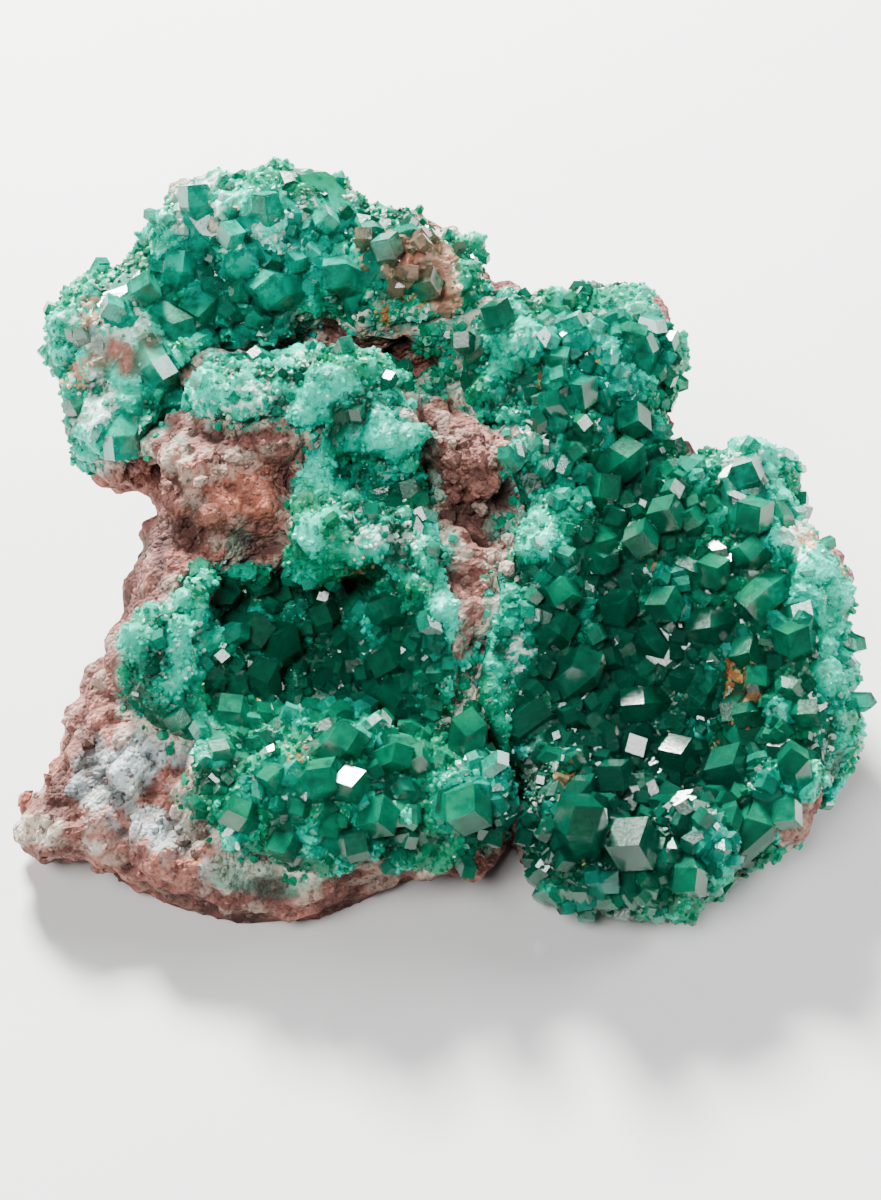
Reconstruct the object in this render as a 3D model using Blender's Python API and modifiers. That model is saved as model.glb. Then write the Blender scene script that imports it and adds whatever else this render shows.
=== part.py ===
"""A dioptase specimen: emerald green crystals in the hollows and on the edges of a red-brown host rock.

The rock is modelled on the face that a viewer sees, laid flat: X runs across that face, Y up it, Z out of it.
The whole is then turned by FACE_LEAN, so that it lies on its flat broken base on the plane Z = 0.
"""

import math
import random

import bmesh
import bpy
from mathutils import Matrix, Vector, noise
from mathutils.bvhtree import BVHTree

# Sizes are millimetres, and MM makes them Blender's metres.
MM = 0.001

# How the specimen lies: its face looks up at this angle, and its middle is this high over the base.
FACE_LEAN = math.radians(45.0)
FACE_HEIGHT = 16.0

# The face falls back as it rises, by this share, and places on it are those that an eye this far off sees.
FACE_SLOPE = -0.36
EYE_DISTANCE = 169.5

# The rock's surface is worked at this grain, then thinned to this many triangles, with the fewest of them
# where it lies deeper than the margin inside a crust's zone. The two weights steer that thinning.
CLAY_GRAIN = 0.9
ROCK_TRIANGLES = 1950
COVER_MARGIN = 1.5
OPEN_WEIGHT = 0.4
COVER_FACTOR = 0.001

# Broken surfaces waver over these two lengths, the rock by the first pair of sizes and a crust's border by
# the other.
COARSE_WAVE = 7.5
FINE_WAVE = 2.6
ROCK_WAVER = (1.2, 0.6)
BORDER_WAVER = (2.2, 1.2)
NOISE_STEP = 17.3

# A crust of crystals sits on the rock with this gap, and is this thick where no crystal stands.
CRUST_GAP = 0.35
CRUST_THICKNESS = 0.9
SKIN_GRAIN = 1.1
SKIN_TRIANGLES = 1200
HAIR = 0.01

# A crust's zone is worked at this grain, stays this far from the next zone, and ends this high over the base.
ZONE_GRAIN = 1.8
ZONE_TRIANGLES = 360
ZONE_GAP = 1.2
ZONE_FLOOR = 2.0
BLOCK_SIZE = 200.0

# Crystals are set this deep into the rock, and lean this far from their aim to the rock's normal.
CRYSTAL_SINK = 1.2
NORMAL_PULL = 0.35

# Crystals between the ones that stand out: radius, length as a share of it, and how far their axes stray.
FILL_RADIUS = (1.1, 1.9)
FILL_LENGTH = (1.8, 2.7)
FILL_TILT = 0.75
FILL_STRAIGHTEST = 0.5
FILL_SPACING = 0.8
FILL_EDGE = 0.6
FILL_FACING = 0.3
FILL_TRIES = 30
OUTLINE_MARGIN = 0.2

# Dioptase closes its six-sided prism with three rhombs, which drop by this share of the prism's radius.
RHOMB_DROP = 0.617

# Outline of the rock as its face is seen, clockwise from the point at the lower left.
OUTLINE = (
    (-37.4, -20.6), (-33.2, -13.6), (-31.0, -8.5), (-28.6, -3.4), (-27.0, 0.2), (-24.6, 3.4),
    (-23.7, 6.6), (-27.1, 10.2), (-30.3, 13.6), (-31.8, 16.9), (-32.2, 20.8), (-31.2, 24.6),
    (-28.6, 26.7), (-25.2, 28.2), (-24.0, 30.4), (-23.5, 33.9), (-22.0, 35.8), (-19.0, 36.1),
    (-15.6, 34.9), (-11.9, 35.6), (-8.9, 34.3), (-5.9, 33.0), (-1.7, 31.4), (1.3, 29.6),
    (4.2, 26.7), (7.0, 25.7), (15.3, 25.3), (18.2, 24.9), (18.9, 22.5), (18.5, 17.8),
    (19.8, 15.6), (20.0, 13.2), (22.0, 12.0), (25.4, 12.3), (28.0, 11.2), (29.2, 8.9),
    (30.0, 6.3), (31.8, 5.9), (33.6, 3.8), (34.2, 0.0), (34.2, -4.2), (33.0, -7.6),
    (33.0, -11.9), (32.4, -16.1), (30.3, -19.3), (27.1, -21.2), (23.7, -23.7), (21.4, -25.6),
    (18.6, -25.7), (13.6, -24.2), (8.9, -22.9), (5.6, -20.6), (2.5, -22.9), (-3.4, -24.0),
    (-6.8, -24.6), (-8.9, -26.5), (-12.7, -26.7), (-17.4, -26.5), (-20.3, -25.6), (-24.6, -24.0),
    (-30.5, -22.3),
)
SLAB_MIDDLE = (0.0, 2.0)

# The slab's rings, from its underside up: height over the sloping face, and how far the outline is drawn in.
SLAB_RINGS = ((-11.0, 4.5), (-6.5, 1.35), (-5.0, 0.0), (-1.0, 1.1), (1.0, 4.0))

# The foot under the slab, seen from above on the plane it lies on: it is hidden from the face.
FOOT = (
    (-24.0, -19.0), (-10.0, -21.0), (2.0, -15.0), (14.0, -15.0), (24.0, -12.0), (27.0, 0.0),
    (22.0, 12.0), (12.0, 22.0), (2.0, 30.0), (-12.0, 35.0), (-20.0, 33.0), (-23.0, 22.0),
    (-19.0, 8.0), (-21.0, -5.0), (-27.0, -14.0),
)
FOOT_DEPTH = -3.0
FOOT_RISE = 13.0
FOOT_SLOPE = 0.36
FOOT_FLARE = 1.16

# Lumps of the rock: place across and up the face, height over the sloping face, and the three radii.
LUMPS = {
    "brown plateau": ((-18.0, 8.5), -2.5, (8.0, 7.0, 8.5)),
    "plateau shoulder": ((-12.5, 12.5), -2.0, (6.5, 4.0, 8.5)),
    "left flank": ((-22.0, 0.6), -3.0, (4.2, 6.0, 7.0)),
    "ridge, left": ((-15.0, 16.8), -1.5, (6.5, 3.2, 8.0)),
    "ridge, middle": ((-8.5, 17.0), -0.5, (6.5, 3.4, 8.5)),
    "ridge, right": ((-4.0, 14.6), -0.5, (4.5, 4.2, 8.5)),
    "pocket roof": ((-6.5, 5.2), -0.5, (6.5, 3.2, 7.5)),
    "pocket corner": ((-0.6, 2.6), 0.0, (4.6, 4.6, 7.0)),
    "pocket right wall": ((0.9, -4.6), -1.0, (3.4, 6.5, 6.5)),
    "pocket left wall": ((-22.8, -3.8), -2.0, (4.2, 5.6, 6.5)),
    "pocket sill, left": ((-17.5, -14.8), -2.5, (6.0, 5.0, 7.5)),
    "pocket sill, middle": ((-9.3, -16.6), -2.0, (9.5, 5.6, 8.0)),
    "pocket sill, right": ((0.9, -17.6), -2.0, (5.6, 5.6, 7.5)),
    "brown knob": ((1.4, 11.2), 0.0, (4.6, 3.6, 6.0)),
    "brown tongue": ((4.4, -0.6), -1.0, (2.6, 5.0, 6.0)),
    "green band, top": ((6.4, 20.2), -1.5, (5.0, 5.5, 6.5)),
    "green band, middle": ((8.6, 12.4), -1.0, (4.2, 6.0, 6.0)),
    "green band, low": ((9.4, 3.6), -2.5, (4.6, 5.5, 6.5)),
    "back crest, left": ((-19.4, 31.0), -2.0, (4.6, 5.4, 7.0)),
    "back crest, middle": ((-12.4, 31.0), -2.5, (6.0, 4.8, 7.5)),
    "back crest, right": ((-3.4, 27.8), -3.0, (6.6, 4.8, 7.5)),
    "left lobe, top": ((-27.6, 21.6), -4.5, (4.8, 5.6, 6.0)),
    "left lobe, low": ((-26.4, 14.4), -5.0, (5.2, 4.6, 6.0)),
    "right block": ((13.4, 20.6), -3.0, (6.0, 5.2, 6.5)),
    "right block corner": ((16.0, 22.6), -3.0, (3.6, 3.4, 5.5)),
    "upper right lobe": ((25.4, 8.8), -3.0, (4.4, 4.2, 5.5)),
    "right lobe": ((30.6, 0.8), -3.0, (4.0, 5.0, 5.5)),
    "right rim": ((30.6, -9.0), -2.5, (3.2, 7.0, 5.5)),
    "right rim foot": ((28.8, -16.4), -2.0, (4.2, 4.4, 5.5)),
    "front lip": ((19.5, -21.4), -1.5, (6.5, 3.8, 5.5)),
    "front lip, left": ((11.5, -19.6), -2.0, (4.0, 4.4, 5.5)),
    "wedge": ((-25.6, -16.0), -3.5, (6.0, 6.0, 5.5)),
    "wedge keel": ((-19.0, -21.8), -3.5, (9.0, 4.0, 6.0)),
}

# Hollows of the rock, laid out as the lumps are.
HOLLOWS = {
    "front pocket": ((-11.2, -4.2), 4.0, (9.0, 7.2, 10.5)),
    "front pocket, right": ((-4.8, -4.8), 4.5, (5.0, 7.6, 9.0)),
    "front pocket, top left": ((-17.0, -1.0), 2.5, (4.6, 3.8, 7.5)),
    "front pocket, low left": ((-16.2, -7.6), 3.5, (5.0, 4.0, 7.5)),
    "front pocket, low right": ((-2.4, -9.6), 5.0, (4.4, 4.0, 8.0)),
    "front pocket, under the roof": ((-9.4, 0.6), -1.0, (7.6, 4.4, 5.0)),
    "gap behind the ridge": ((-4.6, 20.0), 0.0, (6.0, 2.6, 9.0)),
    "gap behind the ridge, left": ((-11.6, 22.0), 1.5, (5.2, 2.4, 7.0)),
    "left hole": ((-23.4, 16.8), -1.0, (2.2, 2.6, 8.0)),
    "back hollow": ((-19.6, 23.6), 3.0, (4.4, 3.6, 7.0)),
    "cleft under the ridge": ((-4.6, 9.6), 2.5, (5.0, 1.9, 7.5)),
    "cleft by the left lobe": ((-24.8, 9.4), 0.0, (2.6, 3.0, 8.0)),
    "right basin": ((18.6, -4.2), 6.5, (12.6, 15.0, 9.0)),
    "right basin, top": ((16.2, 12.6), 5.5, (5.6, 4.6, 8.0)),
    "right basin, deep": ((13.4, -11.6), 2.0, (4.6, 3.6, 6.0)),
    "cleft left of the basin": ((6.2, -12.6), 3.0, (2.2, 7.0, 7.5)),
    "front notch": ((5.6, -22.6), 0.0, (2.4, 4.6, 12.0)),
}

# Where each crust of crystals grows: balls laid out as the lumps are.
POCKET_ZONE = {
    "pocket": ((-11.4, -4.6), 1.5, (11.6, 9.2, 10.5)),
    "pocket, right": ((-4.0, -4.6), 2.0, (5.8, 8.6, 9.0)),
    "left rim": ((-21.4, -4.6), 1.0, (4.6, 6.6, 8.0)),
    "roof": ((-3.8, 4.2), 2.0, (6.6, 3.6, 9.0)),
    "roof joint": ((-8.6, 8.0), 2.0, (2.6, 4.2, 8.0)),
    "ridge, right": ((-5.2, 13.6), 2.0, (4.4, 4.8, 9.0)),
    "ridge, middle": ((-9.4, 17.9), 2.0, (6.5, 3.1, 9.0)),
    "ridge, left": ((-16.6, 17.6), 1.0, (6.5, 2.9, 9.0)),
    "sill": ((-9.4, -15.6), 3.0, (12.6, 6.4, 9.0)),
    "sill, right": ((0.4, -16.2), 2.0, (5.6, 5.6, 9.0)),
}
BASIN_ZONE = {
    "basin": ((20.0, -6.0), 1.0, (16.0, 19.0, 11.0)),
    "basin, left": ((11.6, -10.0), 1.0, (5.8, 12.0, 9.0)),
    "basin, top": ((14.6, 9.6), 1.0, (6.4, 6.4, 9.0)),
    "block": ((13.6, 19.6), 1.0, (7.6, 7.6, 9.0)),
    "band, top": ((6.2, 20.4), 1.5, (5.4, 6.0, 9.0)),
    "band, low": ((10.0, 8.4), 1.0, (4.2, 8.6, 9.0)),
    "upper right lobe": ((25.6, 8.6), 1.0, (6.0, 5.4, 8.0)),
    "front lip": ((17.0, -21.0), 1.0, (9.4, 6.4, 8.0)),
}
BACK_ZONE = {
    "crest": ((-15.6, 29.6), 1.0, (9.8, 8.4, 9.0)),
    "hollow": ((-18.6, 23.6), 1.5, (6.4, 4.6, 8.0)),
    "crest, right": ((-4.6, 27.4), 1.0, (8.0, 5.4, 8.0)),
    "left lobe": ((-27.6, 21.6), -3.0, (5.6, 7.6, 8.0)),
    "left lobe, low": ((-27.0, 14.6), -3.0, (5.4, 4.6, 8.0)),
}

# Rims where the crust is fine and bears no crystals between the ones that stand out: place on the face, and
# the half width and half height of each.
RIMS = {
    "roof": ((-4.0, 4.8), (6.6, 3.0)),
    "roof joint": ((-8.6, 9.0), (2.8, 4.0)),
    "ridge": ((-12.6, 17.6), (9.6, 3.0)),
    "ridge, right": ((-4.4, 14.0), (5.0, 4.8)),
    "left rim": ((-23.4, -4.6), (3.4, 6.6)),
    "right wall": ((1.2, -3.6), (2.6, 6.8)),
    "band, top": ((6.0, 18.4), (2.8, 6.6)),
    "band, low": ((9.2, 8.0), (3.0, 7.0)),
    "band, foot": ((5.8, -3.2), (2.6, 5.0)),
    "upper right lobe": ((25.6, 11.2), (4.6, 2.6)),
    "right rim": ((32.6, -6.0), (2.2, 12.0)),
    "back crest": ((-17.0, 34.0), (7.0, 2.6)),
    "left lobe": ((-30.0, 20.0), (3.0, 8.0)),
}

# Crystals that stand out: place on the face, radius, length, how the axis leans across and up the face, and
# its spin in degrees.
POCKET_CRYSTALS = (
    ((-13.1, -4.4), 2.0, 5.6, (-0.30, 0.45), 20),
    ((-8.2, -0.8), 0.9, 3.8, (0.15, 0.9), 10),
    ((-6.7, -4.0), 0.8, 3.2, (0.0, 0.1), 45),
    ((-18.6, -8.2), 1.1, 3.4, (-0.5, 0.2), 30),
    ((-6.6, -7.4), 0.9, 4.2, (0.2, 0.5), 5),
    ((-3.6, 0.6), 1.2, 3.6, (0.4, 0.1), 50),
    ((-9.8, -8.6), 1.2, 3.6, (-0.2, -0.3), 15),
    ((-12.6, -10.4), 1.4, 3.4, (0.3, -0.4), 0),
    ((-3.2, -8.8), 1.1, 4.0, (0.7, 0.3), 25),
    ((-16.6, -0.4), 1.1, 3.2, (-0.2, -0.5), 35),
    ((-11.0, 0.4), 1.0, 3.2, (0.1, -0.6), 55),
    ((1.7, -17.6), 2.1, 4.6, (0.15, -0.05), 40),
    ((-7.6, -15.4), 1.6, 3.8, (0.1, -0.3), 12),
    ((-13.4, -15.0), 1.4, 3.6, (-0.3, -0.2), 33),
    ((-18.0, -13.0), 1.2, 3.2, (-0.5, -0.1), 8),
    ((-2.6, -14.0), 1.4, 4.0, (0.4, 0.2), 22),
)
BASIN_CRYSTALS = (
    ((24.2, -14.8), 2.2, 5.2, (0.1, 0.1), 42),
    ((15.0, -1.0), 1.8, 4.6, (-0.1, 0.2), 20),
    ((12.4, -20.4), 2.1, 7.6, (-0.35, 0.75), 5),
    ((15.8, -20.6), 2.4, 5.4, (0.2, -0.2), 30),
    ((19.6, -12.8), 1.7, 4.4, (0.0, -0.1), 15),
    ((12.2, -10.8), 1.0, 5.6, (-0.9, 0.5), 40),
    ((5.0, 23.4), 1.5, 4.0, (0.1, 0.2), 33),
    ((11.6, 16.8), 1.8, 4.6, (-0.1, 0.1), 10),
    ((15.8, 15.2), 1.7, 4.6, (0.1, -0.1), 50),
    ((17.0, 19.8), 1.3, 4.6, (-0.2, 0.7), 25),
    ((18.8, 6.6), 1.8, 4.6, (0.0, 0.3), 35),
    ((22.6, 2.0), 1.7, 4.2, (0.2, 0.2), 0),
    ((25.8, -4.4), 1.6, 4.0, (0.1, 0.0), 48),
    ((20.6, -6.8), 1.3, 3.8, (-0.1, 0.1), 18),
    ((29.8, -1.6), 1.4, 3.8, (0.5, 0.1), 28),
    ((30.0, -9.6), 1.3, 3.8, (0.6, 0.0), 12),
    ((28.4, -17.4), 1.5, 4.0, (0.5, -0.3), 38),
    ((25.6, 10.0), 1.6, 3.8, (0.2, 0.4), 22),
    ((20.6, -22.6), 1.6, 4.2, (0.1, -0.5), 44),
)
BACK_CRYSTALS = (
    ((-19.6, 25.4), 1.9, 5.2, (-0.1, -0.2), 14),
    ((-17.2, 27.6), 1.7, 4.6, (0.3, 0.2), 40),
    ((-20.2, 33.0), 1.6, 4.0, (-0.3, 0.5), 26),
    ((-14.6, 32.6), 1.4, 4.0, (0.0, 0.5), 5),
    ((-10.0, 31.4), 1.3, 3.8, (0.1, 0.4), 50),
    ((-1.4, 26.4), 1.5, 4.0, (0.1, 0.2), 33),
    ((-4.6, 29.0), 1.5, 4.0, (0.2, 0.3), 18),
)

# How many crystals grow between the ones that stand out, and the seed that places them.
POCKET_FILL = (28, 5)
BASIN_FILL = (42, 11)
BACK_FILL = (20, 23)

# Colour and roughness of the two materials.
GREEN = ((0.0, 0.30, 0.19, 1.0), 0.15)
BROWN = ((0.33, 0.16, 0.13, 1.0), 0.9)


def clear_scene():
    for old in list(bpy.data.objects):
        bpy.data.objects.remove(old)


def collection(name):
    made = bpy.data.collections.new(name)
    bpy.context.scene.collection.children.link(made)
    return made


def material(name, colour, roughness):
    made = bpy.data.materials.new(name)
    made.use_nodes = True
    shader = made.node_tree.nodes["Principled BSDF"]
    shader.inputs["Base Color"].default_value = colour
    shader.inputs["Roughness"].default_value = roughness
    shader.inputs["Metallic"].default_value = 0.0
    made.diffuse_color = colour
    return made


def object_of(shape, name, home):
    """A new object in the collection home, with the bmesh's shape."""
    mesh = bpy.data.meshes.new(name)
    shape.to_mesh(mesh)
    shape.free()
    made = bpy.data.objects.new(name, mesh)
    home.objects.link(made)
    return made


def settled(thing):
    """The object with its modifiers worked into its mesh."""
    graph = bpy.context.evaluated_depsgraph_get()
    thing.data = bpy.data.meshes.new_from_object(thing.evaluated_get(graph))
    thing.modifiers.clear()
    return thing


def on_face(place, height):
    """A point in the face's frame, from its place as seen from EYE_DISTANCE and its height over the slope."""
    rise = FACE_SLOPE * place[1] + height
    nearer = 1.0 - rise / EYE_DISTANCE
    return Vector((place[0] * nearer, place[1] * nearer, rise)) * MM


def to_world():
    """The turn and lift that stand the face's frame on the base plane."""
    return Matrix.Translation((0, 0, FACE_HEIGHT * MM)) @ Matrix.Rotation(math.pi / 2 - FACE_LEAN, 4, "X")


def add_ball(shape, place, height, radii):
    """An ellipsoid on the face, its axes along the face's own."""
    size = [radius * MM for radius in radii]
    matrix = Matrix.Translation(on_face(place, height)) @ Matrix.Diagonal((*size, 1.0))
    bmesh.ops.create_icosphere(shape, subdivisions=3, radius=1.0, matrix=matrix)


def add_slab(shape):
    """The body of the rock: the outline with a rounded edge, sloping back up the face."""
    middle = Vector((*SLAB_MIDDLE, 0.0))
    rings = []
    for height, inset in SLAB_RINGS:
        ring = []
        for x, y in OUTLINE:
            away = Vector((x, y, 0.0)) - middle
            drawn = middle + away * (1.0 - inset / away.length)
            ring.append(shape.verts.new(on_face((drawn.x, drawn.y), height)))
        rings.append(ring)
    count = len(OUTLINE)
    for low, high in zip(rings, rings[1:]):
        for i in range(count):
            j = (i + 1) % count
            shape.faces.new((low[j], low[i], high[i], high[j]))
    shape.faces.new(rings[0])
    shape.faces.new(reversed(rings[-1]))


def add_foot(shape):
    """The rock under the slab, down past the base plane, in the face's frame."""
    back = to_world().inverted()
    low = [shape.verts.new(back @ (Vector((x, y, FOOT_DEPTH)) * MM)) for x, y in FOOT]
    high = []
    for x, y in FOOT:
        flared = Vector((x * FOOT_FLARE, y * FOOT_FLARE, FOOT_RISE + FOOT_SLOPE * y))
        high.append(shape.verts.new(back @ (flared * MM)))
    count = len(FOOT)
    for i in range(count):
        j = (i + 1) % count
        shape.faces.new((low[i], low[j], high[j], high[i]))
    shape.faces.new(reversed(low))
    shape.faces.new(high)


def remeshed(thing, grain, smooth_steps):
    """The object's shells fused into one skin of this grain, and smoothed."""
    fuse = thing.modifiers.new("Fuse", "REMESH")
    fuse.mode = "VOXEL"
    fuse.voxel_size = grain * MM
    ease = thing.modifiers.new("Ease", "SMOOTH")
    ease.factor = 0.5
    ease.iterations = smooth_steps
    return settled(thing)


def waver(place):
    """A smooth random push: along each axis two octaves of a noise of its own."""
    push = []
    for axis in range(3):
        apart = place + Vector((NOISE_STEP * axis, 0.0, 0.0))
        push.append(noise.noise(apart) + 0.5 * noise.noise(apart * 2.0))
    return Vector(push)


def cragged(thing, coarse, fine):
    """The surface pushed in and out at two scales, as a broken rock is."""
    shape = bmesh.new()
    shape.from_mesh(thing.data)
    shape.normal_update()
    moves = []
    for point in shape.verts:
        place = point.co / MM
        moves.append(waver(place / COARSE_WAVE) * coarse + waver(place / FINE_WAVE) * fine)
    for point, move in zip(shape.verts, moves):
        point.co += move * MM
    shape.to_mesh(thing.data)
    shape.free()
    return thing


def cut(thing, tool, operation="DIFFERENCE", solver="EXACT"):
    step = thing.modifiers.new(operation.title(), "BOOLEAN")
    step.operation = operation
    step.solver = solver
    step.use_self = solver == "EXACT"
    step.object = tool
    return settled(thing)


def thinned(thing, triangles, group=""):
    """The mesh brought down to about this many triangles, fewest where a vertex group weighs most."""
    thing.data.calc_loop_triangles()
    share = triangles / len(thing.data.loop_triangles)
    thin = thing.modifiers.new("Thin", "DECIMATE")
    thin.ratio = min(1.0, share)
    thin.use_collapse_triangulate = True
    thin.vertex_group = group
    thin.vertex_group_factor = COVER_FACTOR
    return settled(thing)


def depth_in(body, point):
    """How deep inside a closed body a point lies, from the body's search tree: negative outside it."""
    nearest, normal, _, distance = body.find_nearest(point)
    return distance / MM if (nearest - point).dot(normal) > 0 else -distance / MM


def seen_place(point):
    """Where on the face the eye sees a point of the world."""
    local = (to_world().inverted() @ point) / MM
    farther = 1.0 / (1.0 - local.z / EYE_DISTANCE)
    return local.x * farther, local.y * farther


def on_rim(point):
    """Whether the eye sees a point of the world on one of the rims."""
    x, y = seen_place(point)
    for (middle_x, middle_y), (wide, high) in RIMS.values():
        if math.hypot((x - middle_x) / wide, (y - middle_y) / high) < 1:
            return True
    return False


def in_outline(point, margin):
    """Whether the eye sees a point of the world inside the outline, by margin at least."""
    x, y = seen_place(point)
    crossings = 0
    for (ax, ay), (bx, by) in zip(OUTLINE, OUTLINE[1:] + OUTLINE[:1]):
        along = Vector((bx - ax, by - ay))
        share = max(0.0, min(1.0, Vector((x - ax, y - ay)).dot(along) / along.length_squared))
        if math.hypot(x - ax - along.x * share, y - ay - along.y * share) < margin:
            return False
        if (ay > y) != (by > y) and x < ax + (y - ay) / (by - ay) * (bx - ax):
            crossings += 1
    return crossings % 2 == 1


def block_under(height, name, tools):
    """A block far larger than the specimen, whose top is at this height."""
    block = bmesh.new()
    middle = Matrix.Translation(Vector((0.0, 0.0, height - BLOCK_SIZE / 2)) * MM)
    bmesh.ops.create_cube(block, size=BLOCK_SIZE * MM, matrix=middle)
    return object_of(block, name, tools)


def search_tree(thing):
    return BVHTree.FromObject(thing, bpy.context.evaluated_depsgraph_get())


def make_zone(name, balls, others, tools):
    """The room in which one crust grows: its balls with a ragged border, clear of the other crusts' rooms."""
    shape = bmesh.new()
    for place, height, radii in balls.values():
        add_ball(shape, place, height, radii)
    zone = object_of(shape, name + "_zone", tools)
    remeshed(zone, ZONE_GRAIN, 1)
    cragged(zone, *BORDER_WAVER)
    zone.data.transform(to_world())
    thinned(zone, ZONE_TRIANGLES)
    ground = block_under(ZONE_FLOOR, "zone_ground", tools)
    cut(zone, ground, "DIFFERENCE", "MANIFOLD")
    bpy.data.objects.remove(ground)
    for other in others:
        wall = grown(other, "zone_wall", ZONE_GAP, tools)
        cut(zone, wall, "DIFFERENCE", "MANIFOLD")
        bpy.data.objects.remove(wall)
    return zone


def make_rock(zones, part, tools):
    clay = bmesh.new()
    add_slab(clay)
    add_foot(clay)
    for place, height, radii in LUMPS.values():
        add_ball(clay, place, height, radii)
    bmesh.ops.recalc_face_normals(clay, faces=clay.faces)
    rock = object_of(clay, "host_rock", part)
    remeshed(rock, CLAY_GRAIN, 4)

    scoop = bmesh.new()
    for place, height, radii in HOLLOWS.values():
        add_ball(scoop, place, height, radii)
    scoops = object_of(scoop, "hollow_cutters", tools)
    remeshed(scoops, CLAY_GRAIN, 2)
    cut(rock, scoops)
    cragged(rock, *ROCK_WAVER)
    remeshed(rock, CLAY_GRAIN, 1)
    rock.data.transform(to_world())

    skin = grown(rock, "crust_skin", CRUST_GAP + CRUST_THICKNESS, tools)
    remeshed(skin, SKIN_GRAIN, 1)
    thinned(skin, SKIN_TRIANGLES)

    rooms = [search_tree(zone) for zone in zones]
    weights = rock.vertex_groups.new(name="covered")
    for point in rock.data.vertices:
        deepest = max(depth_in(room, point.co) for room in rooms)
        weights.add([point.index], 1.0 if deepest > COVER_MARGIN else OPEN_WEIGHT, "ADD")
    thinned(rock, ROCK_TRIANGLES, "covered")
    rock.vertex_groups.clear()

    cut(rock, block_under(0.0, "base_cutter", tools))
    return rock, skin


def add_crystal(shape, matrix, radius, length):
    """A six-sided prism closed by three rhombs, standing on the matrix's origin along its Z."""
    made = bmesh.ops.create_cone(
        shape, cap_ends=True, segments=6, radius1=radius * MM, radius2=radius * MM, depth=length * MM
    )
    points = made["verts"]
    drop = RHOMB_DROP * radius * MM
    high = sorted((p for p in points if p.co.z > 0), key=lambda p: math.atan2(p.co.y, p.co.x))
    for point in high[::2]:
        point.co.z -= drop
    cap = next(f for f in high[0].link_faces if all(p in high for p in f.verts))
    apex = bmesh.ops.poke(shape, faces=[cap])["verts"][0]
    apex.co = (0.0, 0.0, length * MM / 2 + drop)
    rise = Matrix.Translation((0.0, 0.0, length * MM / 2))
    bmesh.ops.transform(shape, matrix=matrix @ rise, verts=points + [apex])


def standing(foot, axis, spin):
    """The matrix that stands a crystal at foot along axis, turned about it by spin."""
    turn = axis.to_track_quat("Z", "Y").to_matrix().to_4x4()
    return Matrix.Translation(foot) @ turn @ Matrix.Rotation(spin, 4, "Z")


def seen_on(skin, place):
    """Where the eye that looks at the face sees this place on the skin, and the skin's normal there."""
    world = to_world()
    eye = world @ Vector((0.0, 0.0, EYE_DISTANCE * MM))
    aim = world @ (Vector((*place, 0.0)) * MM)
    point, normal, _, _ = skin.ray_cast(eye, (aim - eye).normalized())
    return point, normal


def scattered(rock, room, kept_clear, wanted, seed):
    """Feet and axes for crystals between the ones that stand out, drawn by seed over the rock's faces."""
    draw = random.Random(seed)
    outwards = to_world().to_3x3() @ Vector((0.0, 0.0, 1.0))
    faces = [f for f in rock.data.polygons if depth_in(room, f.center) > 0]
    weights = [f.area for f in faces]
    found = []
    for _ in range(wanted * FILL_TRIES):
        if len(found) == wanted:
            break
        face = draw.choices(faces, weights)[0]
        corners = [rock.data.vertices[i].co for i in face.vertices]
        a, b = sorted((draw.random(), draw.random()))
        point = corners[0] * a + corners[1] * (b - a) + corners[2] * (1 - b)
        radius = draw.uniform(*FILL_RADIUS)
        length = radius * draw.uniform(*FILL_LENGTH)
        if any((point - other).length < (radius + size) * FILL_SPACING * MM for other, size in kept_clear):
            continue
        tilt = Vector((draw.uniform(-1, 1), draw.uniform(-1, 1), draw.uniform(-1, 1))) * FILL_TILT
        axis = (face.normal + tilt).normalized()
        if axis.dot(face.normal) < FILL_STRAIGHTEST or face.normal.dot(outwards) < FILL_FACING:
            continue
        if on_rim(point) or depth_in(room, point) < radius * FILL_EDGE:
            continue
        if not in_outline(point + axis * length * MM, OUTLINE_MARGIN + radius * FILL_EDGE):
            continue
        kept_clear.append((point, radius))
        found.append((point, axis, draw.uniform(0, math.pi), radius, length))
    return found


def grown(rock, name, grow, tools):
    """A copy of the rock whose skin is pushed out by grow."""
    shape = bmesh.new()
    shape.from_mesh(rock.data)
    shape.normal_update()
    pushes = [(p, p.normal.copy()) for p in shape.verts]
    for point, normal in pushes:
        point.co += normal * grow * MM
    return object_of(shape, name, tools)


def largest_body(thing):
    """The object without the loose chips and the hair-thin edges that a cut leaves."""
    shape = bmesh.new()
    shape.from_mesh(thing.data)
    bmesh.ops.remove_doubles(shape, verts=shape.verts, dist=HAIR * MM)
    left = set(shape.verts)
    bodies = []
    while left:
        body, edge = set(), [left.pop()]
        while edge:
            point = edge.pop()
            body.add(point)
            for link in point.link_edges:
                other = link.other_vert(point)
                if other in left:
                    left.remove(other)
                    edge.append(other)
        bodies.append(body)
    bodies.sort(key=len)
    for body in bodies[:-1]:
        bmesh.ops.delete(shape, geom=list(body), context="VERTS")
    bmesh.ops.triangulate(shape, faces=shape.faces)
    shape.to_mesh(thing.data)
    shape.free()
    return thing


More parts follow.
